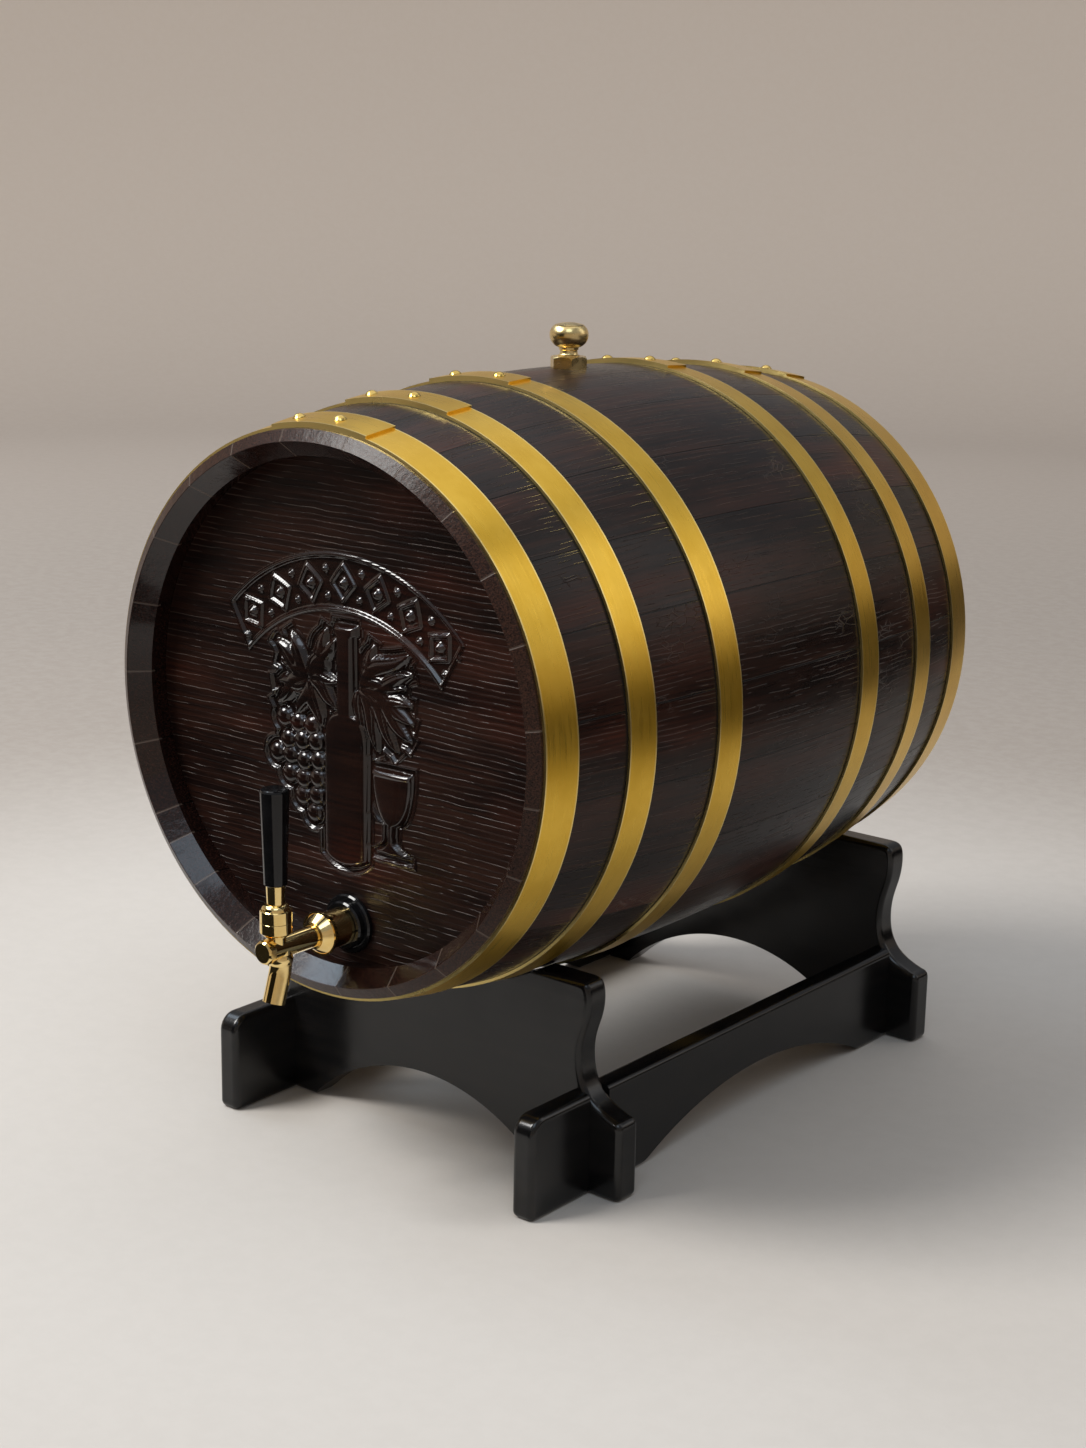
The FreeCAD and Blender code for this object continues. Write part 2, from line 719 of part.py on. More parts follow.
def board_blank(face, horn_height):
    """Board outline without its cradle: feet, drawn-in waist and rounded horns."""
    def at(side, x, z):
        return V(side * x, face, z)

    horn_side_height = horn_height - horn_curve_height
    horn_pull = (horn_side_height - waist_height) * horn_pull_share
    foot_top = foot_half_width - foot_corner
    foot_side = foot_height - foot_corner
    shoulder = foot_height + foot_lift
    toe = toe_corner * (1 - math.sqrt(0.5))

    def flank(side):
        return [arc(at(side, foot_half_width - toe_corner, 0), at(side, foot_half_width - toe, toe),
                    at(side, foot_half_width, toe_corner)),
                line(at(side, foot_half_width, toe_corner), at(side, foot_half_width, foot_side)),
                bezier(at(side, foot_half_width, foot_side), at(side, foot_half_width, foot_height),
                       at(side, foot_top, shoulder)),
                bezier(at(side, foot_top, shoulder), at(side, foot_top - foot_pull, foot_height + foot_pull_rise),
                       at(side, waist_half_width, waist_height - waist_pull),
                       at(side, waist_half_width, waist_height)),
                bezier(at(side, waist_half_width, waist_height),
                       at(side, waist_half_width, waist_height + horn_pull),
                       at(side, horn_half_width, horn_side_height - horn_pull),
                       at(side, horn_half_width, horn_side_height)),
                bezier(at(side, horn_half_width, horn_side_height),
                       at(side, horn_half_width, horn_height - horn_pull_drop),
                       at(side, horn_half_width - horn_pull_in, horn_height),
                       at(side, horn_half_width - horn_round, horn_height))]

    right = flank(1)
    left = flank(-1)
    inner = horn_half_width - horn_round
    edges = right + [line(at(1, inner, horn_height), at(-1, inner, horn_height))] + left
    toe_width = foot_half_width - toe_corner
    edges.append(line(at(-1, toe_width, 0), at(1, toe_width, 0)))
    wire = Part.Wire(Part.__sortEdges__(edges))
    blank = Part.Face(wire).extrude(V(0, board_thickness, 0))
    rounded = [edge for edge in blank.Edges if is_flank_edge(edge)]
    return blank.makeFillet(edge_round, rounded)


def is_flank_edge(edge):
    """True for edges along the outline on either broad face, above the floor."""
    flat = edge.BoundBox.YLength < size_tolerance
    on_floor = edge.BoundBox.ZMax < size_tolerance
    return flat and not on_floor


def arch(face, half_width, height, along, depth):
    """Round-arched cutter rising from the floor, through a board of the given depth."""
    radius = (half_width ** 2 + height ** 2) / (2 * height)
    start = face - along * cut_margin + V(0, 0, height - radius)
    return cylinder(radius, start, along, depth + 2 * cut_margin)


def hoop_reach(y):
    return outer_radius(y) + hoop_seat + hoop_thickness


def make_board(face, horn_height, seat_radius):
    board = board_blank(face, horn_height)
    cradle = cylinder(seat_radius + cradle_gap, V(0, face - cut_margin, cask_axis_height), Y_AXIS,
                      board_thickness + 2 * cut_margin)
    opening = arch(V(0, face, 0), board_arch_half_width, board_arch_height, Y_AXIS, board_thickness)
    board = board.cut([cradle, opening])
    for side in (-1, 1):
        near = rail_inner_offset - lap_play
        far = rail_inner_offset + rail_thickness + lap_play
        slot = box((min(side * near, side * far), face - cut_margin, -cut_margin),
                   (max(side * near, side * far), face + board_thickness + cut_margin, lap_height))
        board = board.cut(slot)
    return board.Solids[0]


def make_rail(side):
    """Rail on edge, rounded at its ends, arched below and notched from above for both boards."""
    x = side * rail_inner_offset if side > 0 else side * (rail_inner_offset + rail_thickness)
    front = front_board_face - rail_front_overhang
    rear = rear_board_back
    r = rail_corner
    d = r * (1 - math.sqrt(0.5))

    def at(y, z):
        return V(x, y, z)

    toe = toe_corner
    t = toe * (1 - math.sqrt(0.5))
    edges = [line(at(front, toe), at(front, rail_height - r)),
             arc(at(front, rail_height - r), at(front + d, rail_height - d), at(front + r, rail_height)),
             line(at(front + r, rail_height), at(rear - r, rail_height)),
             arc(at(rear - r, rail_height), at(rear - d, rail_height - d), at(rear, rail_height - r)),
             line(at(rear, rail_height - r), at(rear, toe)),
             arc(at(rear, toe), at(rear - t, t), at(rear - toe, 0)),
             line(at(rear - toe, 0), at(front + toe, 0)),
             arc(at(front + toe, 0), at(front + t, t), at(front, toe))]
    blank = Part.Face(Part.Wire(edges)).extrude(V(rail_thickness, 0, 0))
    rounded = [edge for edge in blank.Edges
               if edge.BoundBox.XLength < size_tolerance < edge.BoundBox.ZMax]
    rail = blank.makeFillet(edge_round, rounded)
    inner_front = front_board_face + board_thickness + rail_arch_margin
    inner_rear = rear_board_face - rail_arch_margin
    middle = (inner_front + inner_rear) / 2
    rail = rail.cut(arch(V(x, middle, 0), (inner_rear - inner_front) / 2, rail_arch_height, X_AXIS, rail_thickness))
    for face in (front_board_face, rear_board_face):
        notch = box((x - cut_margin, face - lap_play, lap_height),
                    (x + rail_thickness + cut_margin, face + board_thickness + lap_play, rail_height + cut_margin))
        rail = rail.cut(notch)
    return rail.Solids[0]


def main():
    os.makedirs("parts", exist_ok=True)
    for k, stave in enumerate(make_staves()):
        save("stave_%02d" % (k + 1), stave)
    save("front_head", make_head(-1, True))
    save("rear_head", make_head(1, False))

    hoops = (("end", end_hoop_middle, end_hoop_width), ("quarter", quarter_hoop_middle, quarter_hoop_width),
             ("bilge", bilge_hoop_middle, bilge_hoop_width))
    rivets = []
    for side, place in ((-1, "front"), (1, "rear")):
        for kind, middle, width in hoops:
            name = "%s_%s" % (place, kind)
            hoop, pair = make_hoop(side * middle, width, lap_ends[name])
            save(name + "_hoop", hoop)
            rivets += pair
    save("hoop_rivets", Part.makeCompound(rivets))

    bush, plug_seat = make_bush()
    plug, seal = make_plug(plug_seat)
    save("bung_bush", bush)
    save("bung_plug", plug)
    save("bung_seal", seal)

    head_seal, shank_seal = make_seals()
    inner_washer, lock_nut = make_inside_fixings()
    ferrule, grip = make_grip()
    shaft, seat_washer = make_valve()
    save("tap_shank", make_shank())
    save("head_seal", head_seal)
    save("shank_seal", shank_seal)
    save("inner_washer", inner_washer)
    save("lock_nut", lock_nut)
    save("coupling_nut", make_coupling_nut())
    save("tail_washer", ring(tail_flange_radius, shank_bore_radius, tap_point(shank_end), FORWARD,
                             tail_washer_thickness))
    save("tap_body", make_tap_body())
    save("front_cap", make_front_cap())
    save("ball_seat", make_ball_seat())
    save("bonnet", make_bonnet())
    save("lever", make_lever())
    save("ferrule", ferrule)
    save("handle_grip", grip)
    save("valve_shaft", shaft)
    save("seat_washer", seat_washer)

    front_seat = outer_radius(front_board_face + board_thickness)
    save("front_board", make_board(front_board_face, cask_axis_height - front_horn_drop, front_seat))
    save("rear_board", make_board(rear_board_face, cask_axis_height - rear_horn_drop, hoop_reach(rear_board_face)))
    save("right_rail", make_rail(1))
    save("left_rail", make_rail(-1))


main()
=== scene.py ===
import math
from collections import namedtuple

import bmesh
import bpy
import numpy as np
from mathutils import Matrix, Vector


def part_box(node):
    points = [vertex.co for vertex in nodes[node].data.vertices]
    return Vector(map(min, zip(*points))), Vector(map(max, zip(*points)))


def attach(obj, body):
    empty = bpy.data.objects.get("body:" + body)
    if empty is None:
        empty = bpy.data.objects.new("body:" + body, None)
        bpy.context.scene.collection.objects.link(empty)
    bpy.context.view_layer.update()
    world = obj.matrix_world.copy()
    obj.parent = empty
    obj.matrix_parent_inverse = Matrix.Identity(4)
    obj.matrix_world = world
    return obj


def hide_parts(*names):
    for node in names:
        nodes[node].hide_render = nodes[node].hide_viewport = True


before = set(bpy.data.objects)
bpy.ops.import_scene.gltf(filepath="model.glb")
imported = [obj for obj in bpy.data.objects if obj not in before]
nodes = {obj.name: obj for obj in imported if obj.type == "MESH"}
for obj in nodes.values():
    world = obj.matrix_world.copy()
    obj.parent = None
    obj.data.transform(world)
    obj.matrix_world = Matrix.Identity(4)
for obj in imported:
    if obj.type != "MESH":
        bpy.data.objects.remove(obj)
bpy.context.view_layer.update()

MM = 0.001

# Places read from the frame
head_low, head_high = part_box("front_head")
HEAD_FACE = head_low[1]
HEAD_BACK = head_high[1]
HEAD_RADIUS = (head_high[0] - head_low[0]) / 2
AXIS_Z = (head_low[2] + head_high[2]) / 2
AXIS_Y = (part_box("stave_01")[0][1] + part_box("stave_01")[1][1]) / 2

STAVE_COUNT = 24
HOOP_KINDS = ("end", "quarter", "bilge")


# Nodes of a finish

class Finish:
    """A node material, with short calls for the nodes that the finishes share."""

    def __init__(self, name):
        self.material = bpy.data.materials.new(name)
        self.material.use_nodes = True
        self.tree = self.material.node_tree
        self.shader = self.tree.nodes["Principled BSDF"]
        self.place = self.tree.nodes.new("ShaderNodeTexCoord").outputs["Object"]

    def add(self, kind, **settings):
        node = self.tree.nodes.new(kind)
        for key, value in settings.items():
            setattr(node, key, value)
        return node

    def feed(self, socket, value):
        """Link an output to a socket, or set the socket to a plain value."""
        if isinstance(value, bpy.types.NodeSocket):
            self.tree.links.new(value, socket)
        else:
            socket.default_value = value

    def set(self, **values):
        """Shader sockets by name; underscores stand for spaces."""
        for key, value in values.items():
            if isinstance(value, tuple):
                value = (*value, 1.0)
            self.feed(self.shader.inputs[key.replace("_", " ")], value)

    # Numbers

    def maths(self, operation, first, second=0.0):
        node = self.add("ShaderNodeMath", operation=operation)
        self.feed(node.inputs[0], first)
        self.feed(node.inputs[1], second)
        return node.outputs[0]

    def plus(self, first, second):
        return self.maths("ADD", first, second)

    def minus(self, first, second):
        return self.maths("SUBTRACT", first, second)

    def times(self, first, second):
        return self.maths("MULTIPLY", first, second)

    def larger(self, first, second):
        return self.maths("MAXIMUM", first, second)

    def size(self, value):
        return self.maths("ABSOLUTE", value)

    def hypotenuse(self, first, second):
        return self.maths("SQRT", self.plus(self.times(first, first), self.times(second, second)))

    def half_turn(self, angle):
        """An angle brought between minus and plus half a turn."""
        wrapped = self.maths("WRAP", angle, math.pi)
        wrapped.node.inputs[2].default_value = -math.pi
        return wrapped

    def fade(self, value, low, high, start=0.0, end=1.0):
        """Smooth step of a value between two limits; with the higher one first it falls."""
        node = self.add("ShaderNodeMapRange", interpolation_type="SMOOTHSTEP")
        self.feed(node.inputs["Value"], value)
        node.inputs["From Min"].default_value = low
        node.inputs["From Max"].default_value = high
        node.inputs["To Min"].default_value = start
        node.inputs["To Max"].default_value = end
        return node.outputs["Result"]

    def between(self, factor, first, second):
        """Number between two others."""
        node = self.add("ShaderNodeMix")
        self.feed(node.inputs[0], factor)
        self.feed(node.inputs[2], first)
        self.feed(node.inputs[3], second)
        return node.outputs[0]

    # Places

    def axes(self):
        """The place's X, Y and Z as three numbers."""
        node = self.add("ShaderNodeSeparateXYZ")
        self.feed(node.inputs[0], self.place)
        return node.outputs[0], node.outputs[1], node.outputs[2]

    def joined(self, x, y, z):
        node = self.add("ShaderNodeCombineXYZ")
        for socket, value in zip(node.inputs, (x, y, z)):
            self.feed(socket, value)
        return node.outputs[0]

    def stretched(self, x, y, z):
        """The place with its axes multiplied: the spots of a noise per metre."""
        mapping = self.add("ShaderNodeMapping")
        self.feed(mapping.inputs["Vector"], self.place)
        mapping.inputs["Scale"].default_value = (x, y, z)
        return mapping.outputs["Vector"]

    def around_axis(self):
        """Angle about the cask's axis from the top, distance along it and radius from it."""
        x, y, z = self.axes()
        above = self.minus(z, AXIS_Z)
        return self.maths("ARCTAN2", x, above), self.minus(y, AXIS_Y), self.hypotenuse(x, above)

    # Patterns, colours and relief

    def noise(self, vector, detail=3.0, rough=0.5):
        node = self.add("ShaderNodeTexNoise")
        self.feed(node.inputs["Vector"], vector)
        node.inputs["Scale"].default_value = 1.0
        node.inputs["Detail"].default_value = detail
        node.inputs["Roughness"].default_value = rough
        return node.outputs["Fac"]

    def blend(self, factor, first, second):
        node = self.add("ShaderNodeMix", data_type="RGBA")
        self.feed(node.inputs[0], factor)
        for socket, colour in ((node.inputs[6], first), (node.inputs[7], second)):
            self.feed(socket, colour if isinstance(colour, bpy.types.NodeSocket) else (*colour, 1.0))
        return node.outputs[2]

    def bump(self, height, distance, strength, under=None):
        node = self.add("ShaderNodeBump")
        node.inputs["Strength"].default_value = strength
        node.inputs["Distance"].default_value = distance
        self.feed(node.inputs["Height"], height)
        if under is not None:
            self.feed(node.inputs["Normal"], under)
        return node.outputs["Normal"]


def wear(node, material):
    """Give one material to a CAD node or a piece."""
    node.data.materials.clear()
    node.data.materials.append(material)


# Stained oak

OAK_BLACK = (0.0060, 0.0030, 0.0026)
OAK_BROWN = (0.0260, 0.0095, 0.0057)
OAK_RED = (0.078, 0.0190, 0.0100)
# Pale colour: pale filler in the grain, and painted highlight on the grain ridges, the lacquer cracks and
# the stave edges on the chime
OAK_FILLER_AND_HIGHLIGHT = (0.150, 0.108, 0.085)
OAK_CHIME = (0.030, 0.0105, 0.0070)
OAK_END = (0.060, 0.025, 0.014)
OAK_CARVED = (0.0040, 0.0026, 0.0024)
# Near black: the dark seams between staves, and the painted shade beside the hoops
SEAM_AND_SHADE_BLACK = (0.0015, 0.0012, 0.0010)

OUTER_RADIUS = 0.165            # turns an angle into a distance across a stave
CHIME_START = 0.1962            # from the cask's middle
CROWN_RADIUS = 0.1452           # the end grain lies outside it
HOWEL_RADIUS = 0.1415           # the staves' inside shows within it
# Painted shade beside each hoop: full out to the first distance from the hoop's edge, gone at the second
HOOP_SHADE_START = 0.0010            # from a hoop's edge
HOOP_SHADE_END = 0.0024
SEAM_HALF = (0.00055, 0.0002)   # from a stave's edge: where the seam fades in and is full
# Painted highlight along the stave edges on the chime: from a stave's edge, where it fades in and is full
CHIME_HIGHLIGHT_HALF = (0.0009, 0.0004)

# Spacing of the grain lines, how many spacings they wander and how often they break per metre
STAVE_GRAIN = (0.0027, 3.0, 46.0)
HEAD_GRAIN = (0.0034, 1.8, 34.0)
HEAD_TONE = 0.7

Grain = namedtuple("Grain", "colour line ridge streak cloud")


def grain(finish, across, along, seed, lines, tone):
    """Stained oak from distances across and along it. Tone, 0 to 1, says how red it is.

    Gives its colour, its pale broken lines, the same lines unbroken, fine streaks and soft clouds.
    """
    def field(a, b, detail=2.0, rough=0.5):
        place = finish.joined(finish.times(across, a), finish.times(along, b), seed)
        return finish.noise(place, detail, rough)

    pitch, waves, dash = lines
    cloud = field(34, 7, 4.0, 0.6)
    streak = field(560, 14, 3.0, 0.6)
    phase = finish.plus(finish.maths("DIVIDE", across, pitch), finish.times(field(20, 8), waves))
    phase = finish.plus(phase, finish.times(field(150, 60, 1.0), 0.45))
    gap = finish.size(finish.minus(finish.maths("FRACT", phase), 0.5))
    ridge = finish.fade(gap, 0.11, 0.02)
    line = finish.times(ridge, finish.fade(field(0.9 / pitch, dash), 0.49, 0.60))
    shade = finish.plus(finish.times(cloud, 0.55), finish.times(streak, 0.45))
    colour = finish.blend(finish.fade(shade, 0.40, 0.64), OAK_BLACK, OAK_BROWN)
    red = finish.fade(field(24, 6, 3.0, 0.55), 0.50, 0.72, 0.0, 0.25 + 0.45 * tone)
    red = finish.times(red, finish.fade(gap, 0.5, 0.1, 0.35, 1.0))
    return Grain(finish.blend(red, colour, OAK_RED), line, ridge, streak, cloud)


def crackle(finish, across, along, seed):
    """Fine cracks of old lacquer, in patches."""
    worn = finish.noise(finish.joined(finish.times(across, 40), finish.times(along, 22), seed))
    cells = finish.add("ShaderNodeTexVoronoi", feature="DISTANCE_TO_EDGE")
    place = finish.joined(finish.times(across, 240), finish.times(along, 120), seed)
    finish.feed(cells.inputs["Vector"], place)
    cells.inputs["Scale"].default_value = 1.0
    return finish.times(finish.fade(cells.outputs["Distance"], 0.07, 0.01), finish.fade(worn, 0.60, 0.72))


def painted_hoop_shade(finish, reach):
    """Painted shade: narrow dark bands beside the hoops, where shade falls at their edges, at a distance
    from the cask's middle.
    """
    hoop_shade = 0.0
    for kind in HOOP_KINDS:
        low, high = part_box("rear_%s_hoop" % kind)
        half = (high[1] - low[1]) / 2
        away = finish.size(finish.minus(reach, (low[1] + high[1]) / 2 - AXIS_Y))
        hoop_shade = finish.larger(hoop_shade, finish.fade(away, half + HOOP_SHADE_END, half + HOOP_SHADE_START))
    return hoop_shade


def stave_edges(name):
    """Middle and half width, as angles about the cask's axis, of a stave."""
    mesh = nodes[name].data
    points = np.empty(len(mesh.vertices) * 3)
    mesh.vertices.foreach_get("co", points)
    points = points.reshape(-1, 3)
    angle = np.arctan2(points[:, 0], points[:, 2] - AXIS_Z)
    middle = math.atan2(np.sin(angle).mean(), np.cos(angle).mean())
    away = np.angle(np.exp(1j * (angle - middle)))
    return middle + (away.max() + away.min()) / 2, (away.max() - away.min()) / 2


def stave_oak(name, seed, tone):
    """Stave: lacquered outer face with fine grain, glossy chime, end grain and dark seams; painted shade
    beside the hoops and a painted highlight along the stave edges on the chime.
    """
    finish = Finish("oak_" + name)
    middle, half = stave_edges(name)
    angle, along, radius = finish.around_axis()
    offset = finish.half_turn(finish.minus(angle, middle))
    across = finish.times(offset, OUTER_RADIUS)
    edge = finish.times(finish.minus(half, finish.size(offset)), OUTER_RADIUS)
    reach = finish.size(along)
    oak = grain(finish, across, along, seed, STAVE_GRAIN, tone)
    speck = finish.noise(finish.stretched(1300, 500, 1300), 3.0, 0.7)

    # Masks: 1 where each of them is
    cracks = crackle(finish, across, along, seed)
    hoop_shade = painted_hoop_shade(finish, reach)
    chime = finish.fade(reach, CHIME_START - 0.0003, CHIME_START + 0.0003)
    crown = finish.times(chime, finish.fade(radius, CROWN_RADIUS - 0.0002, CROWN_RADIUS + 0.0002))
    polished = finish.larger(chime, finish.fade(radius, HOWEL_RADIUS + 0.0005, HOWEL_RADIUS))
    plain = finish.minus(1.0, polished)
    seam = finish.fade(edge, *SEAM_HALF)
    # Mask of the painted highlight along the stave edges on the chime
    rim = finish.times(chime, finish.fade(edge, *CHIME_HIGHLIGHT_HALF))

    # Pale grain lines: partly pale filler, partly painted highlight on the ridges
    colour = finish.blend(finish.times(oak.line, 0.22), oak.colour, OAK_FILLER_AND_HIGHLIGHT)
    # Pale cracks: real cracked lacquer, with painted highlight on them
    colour = finish.blend(finish.times(cracks, 0.2), colour, OAK_FILLER_AND_HIGHLIGHT)
    # Painted shade beside the hoops
    colour = finish.blend(finish.times(hoop_shade, 0.95), colour, SEAM_AND_SHADE_BLACK)
    dark = finish.blend(finish.fade(speck, 0.40, 0.70), OAK_BLACK, OAK_CHIME)
    colour = finish.blend(polished, colour, dark)
    colour = finish.blend(finish.times(crown, finish.fade(speck, 0.42, 0.68, 0.1, 0.7)), colour, OAK_END)
    colour = finish.blend(finish.times(seam, 0.9), colour, SEAM_AND_SHADE_BLACK)
    # Painted highlight along the stave edges on the chime
    colour = finish.blend(finish.times(rim, 0.5), colour, OAK_FILLER_AND_HIGHLIGHT)

    raised = finish.times(finish.larger(oak.line, cracks), plain)
    normal = finish.bump(finish.minus(raised, finish.times(seam, 1.5)), 0.0005, 0.7)
    normal = finish.bump(finish.times(oak.streak, plain), 0.0003, 0.4, normal)
    normal = finish.bump(finish.noise(finish.stretched(46, 30, 46), 2.0), 0.0010, 0.35, normal)
    scuffs = finish.noise(finish.stretched(230, 70, 230), 4.0, 0.65)
    normal = finish.bump(finish.times(scuffs, chime), 0.0007, 0.4, normal)

    matt = finish.plus(finish.fade(oak.cloud, 0.3, 0.7, 0.23, 0.34), finish.times(hoop_shade, 0.35))
    gloss = finish.plus(finish.fade(speck, 0.3, 0.7, 0.11, 0.17), finish.times(crown, 0.16))
    coat = finish.times(finish.minus(chime, crown), 0.5)
    finish.set(Base_Color=colour, Normal=normal, Roughness=finish.between(plain, gloss, matt),
               Specular_IOR_Level=0.22, Coat_Weight=coat, Coat_Roughness=0.09)
    return finish.material


def head_oak(name, seed):
    """Head: coarse raised grain across the boards, with pale lines that are partly filler and partly
    painted highlight.
    """
    finish = Finish(name)
    x, _, z = finish.axes()
    oak = grain(finish, z, x, seed, HEAD_GRAIN, HEAD_TONE)
    colour = finish.blend(0.22, oak.colour, OAK_BLACK)
    # Pale grain lines: partly pale filler, partly painted highlight on the raised grain
    colour = finish.blend(finish.times(oak.line, 0.28), colour, OAK_FILLER_AND_HIGHLIGHT)
    raised = finish.times(oak.ridge, finish.fade(oak.line, 0.0, 0.6, 0.25, 1.0))
    normal = finish.bump(oak.streak, 0.0003, 0.4, finish.bump(raised, 0.0008, 0.6))
    finish.set(Base_Color=colour, Normal=normal, Roughness=finish.fade(oak.cloud, 0.3, 0.7, 0.26, 0.36),
               Specular_IOR_Level=0.22)
    return finish.material


def carved_oak(name, seed):
    """Carved parts of the head: the same oak, blacker and glossier."""
    finish = Finish(name)
    x, _, z = finish.axes()
    oak = grain(finish, z, x, seed, HEAD_GRAIN, HEAD_TONE)
    finish.set(Base_Color=finish.blend(0.45, oak.colour, OAK_CARVED),
               Normal=finish.bump(oak.streak, 0.0002, 0.3),
               Roughness=finish.fade(oak.cloud, 0.3, 0.7, 0.12, 0.22), Specular_IOR_Level=0.45,
               Coat_Weight=0.5, Coat_Roughness=0.08)
    return finish.material


def dress_cask():
    """Each stave has its own seed and tone, so that no two are alike."""
    for k in range(STAVE_COUNT):
        name = "stave_%02d" % (k + 1)
        wear(nodes[name], stave_oak(name, 3.1 * k, 0.5 + 0.5 * math.sin(k * 2.4)))
    wear(nodes["rear_head"], head_oak("oak_rear_head", 77.0))


# Metals, plastics, rubber and lacquer

BRASS_DEEP = (0.74, 0.450, 0.048)
BRASS_PALE = (0.84, 0.535, 0.074)
# Painted highlight on the hoops' edges
BRASS_EDGE_HIGHLIGHT = (0.97, 0.80, 0.36)
LACQUER_BLACK = (0.0035, 0.0035, 0.0038)
LACQUER_GRAIN = (0.0080, 0.0072, 0.0070)

# Turned brass: dull and bright colour, least and greatest roughness, and the nodes that wear it
TURNED_BRASS = {
    "polished_brass": ((0.88, 0.63, 0.24), (0.96, 0.74, 0.34), 0.06, 0.13,
                       ("coupling_nut", "tap_body", "front_cap", "bonnet", "lever", "ferrule",
                        "tap_shank", "lock_nut", "valve_shaft")),
    "aged_brass": ((0.66, 0.49, 0.21), (0.86, 0.68, 0.34), 0.20, 0.34, ("bung_bush", "bung_plug")),
    "rivet_brass": ((0.62, 0.42, 0.10), (0.84, 0.60, 0.20), 0.18, 0.32, ("hoop_rivets",))}

# Smooth finishes: colour, roughness, specular level and nodes
SMOOTH = {
    "black_rubber": ((0.010, 0.010, 0.011), 0.42, 0.4,
                     ("inner_washer", "tail_washer", "seat_washer", "bung_seal")),
    "gloss_black": ((0.003, 0.003, 0.0034), 0.09, 0.42, ("handle_grip", "head_seal", "shank_seal")),
    "white_plastic": ((0.55, 0.55, 0.53), 0.4, 0.5, ("ball_seat",))}

# The axis that the grain of each piece of the stand runs along
STAND_GRAIN = {"front_board": "x", "rear_board": "x", "left_rail": "y", "right_rail": "y"}


def hoop_brass(name):
    """Satin brass band, brushed round the cask, with a painted highlight along its two edges."""
    finish = Finish("brass_" + name)
    low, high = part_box(name)
    middle = (low[1] + high[1]) / 2 - AXIS_Y
    half = (high[1] - low[1]) / 2
    angle, along, _ = finish.around_axis()
    brushed = finish.noise(finish.joined(finish.times(angle, 5), finish.times(along, 2400), half))
    cloud = finish.noise(finish.stretched(26, 26, 26), 4.0, 0.6)
    # Mask of the painted highlight along the band's two edges
    edge = finish.fade(finish.size(finish.minus(along, middle)), half - 0.0011, half - 0.0004)
    colour = finish.blend(finish.fade(cloud, 0.32, 0.68), BRASS_DEEP, BRASS_PALE)
    # Painted highlight along the band's two edges
    colour = finish.blend(finish.times(edge, 0.7), colour, BRASS_EDGE_HIGHLIGHT)
    finish.set(Base_Color=colour, Metallic=1.0, Roughness=finish.fade(brushed, 0.3, 0.7, 0.27, 0.36),
               Normal=finish.bump(brushed, 0.00006, 0.3))
    return finish.material


def turned_brass(name, dull, bright, smooth, rough):
    """Brass fitting, with faint cloudy wear over its polish."""
    finish = Finish(name)
    cloud = finish.noise(finish.stretched(90, 90, 90), 4.0, 0.65)
    rings = finish.noise(finish.stretched(30, 30, 1500), 2.0)
    finish.set(Base_Color=finish.blend(finish.fade(cloud, 0.3, 0.7), dull, bright), Metallic=1.0,
               Roughness=finish.fade(cloud, 0.3, 0.75, smooth, rough),
               Normal=finish.bump(rings, 0.00004, 0.2))
    return finish.material


def smooth_finish(name, colour, roughness, level):
    """Plastic or rubber, a little lighter and duller in clouds."""
    finish = Finish(name)
    cloud = finish.noise(finish.stretched(90, 90, 90), 3.0, 0.6)
    lighter = tuple(c * 1.7 for c in colour)
    finish.set(Base_Color=finish.blend(finish.fade(cloud, 0.35, 0.7), colour, lighter),
               Roughness=finish.fade(cloud, 0.3, 0.7, roughness * 0.8, roughness * 1.2),
               Specular_IOR_Level=level)
    return finish.material


def black_lacquer(name, along):
    """Gloss black over wood: a faint grain and the slow ripple of brushed lacquer."""
    finish = Finish(name)
    scale = [9 if axis == along else 150 for axis in "xyz"]
    fibres = finish.noise(finish.stretched(*scale), 3.0, 0.55)
    ripple = finish.noise(finish.stretched(26, 26, 26), 2.0)
    normal = finish.bump(fibres, 0.0002, 0.3, finish.bump(ripple, 0.0011, 0.3))
    finish.set(Base_Color=finish.blend(finish.fade(fibres, 0.4, 0.7), LACQUER_BLACK, LACQUER_GRAIN),
               Roughness=finish.fade(ripple, 0.3, 0.7, 0.16, 0.24), Specular_IOR_Level=0.42, Normal=normal)
    return finish.material


def dress_fittings():
    for place in ("front", "rear"):
        for kind in HOOP_KINDS:
            name = "%s_%s_hoop" % (place, kind)
            wear(nodes[name], hoop_brass(name))
    for make, finishes in ((turned_brass, TURNED_BRASS), (smooth_finish, SMOOTH)):
        for kind, (*look, wearers) in finishes.items():
            material = make(kind, *look)
            for name in wearers:
                wear(nodes[name], material)
    for name, along in STAND_GRAIN.items():
        wear(nodes[name], black_lacquer("lacquer_" + name, along))


# Carved head. Millimetres in the head's plane, from its middle: x to the right, z up

# Every distance is to a shape's edge, negative inside it

def smooth_rise(distance, width):
    """0 outside a shape, rising smoothly to 1 at a depth inside it."""
    t = np.clip(-distance / width, 0.0, 1.0)
    return t * t * (3 - 2 * t)


def ridge(distance, width):
    """1 on a line, falling off to both sides of it."""
    return np.exp(-(distance / width) ** 2)


def disc(x, z, cx, cz, radius):
    return np.hypot(x - cx, z - cz) - radius


def slab(x, z, direction, offset):
    """Signed distance to a half plane whose outward normal is given."""
    nx, nz = direction
    length = math.hypot(nx, nz)
    return (x * nx + z * nz) / length - offset


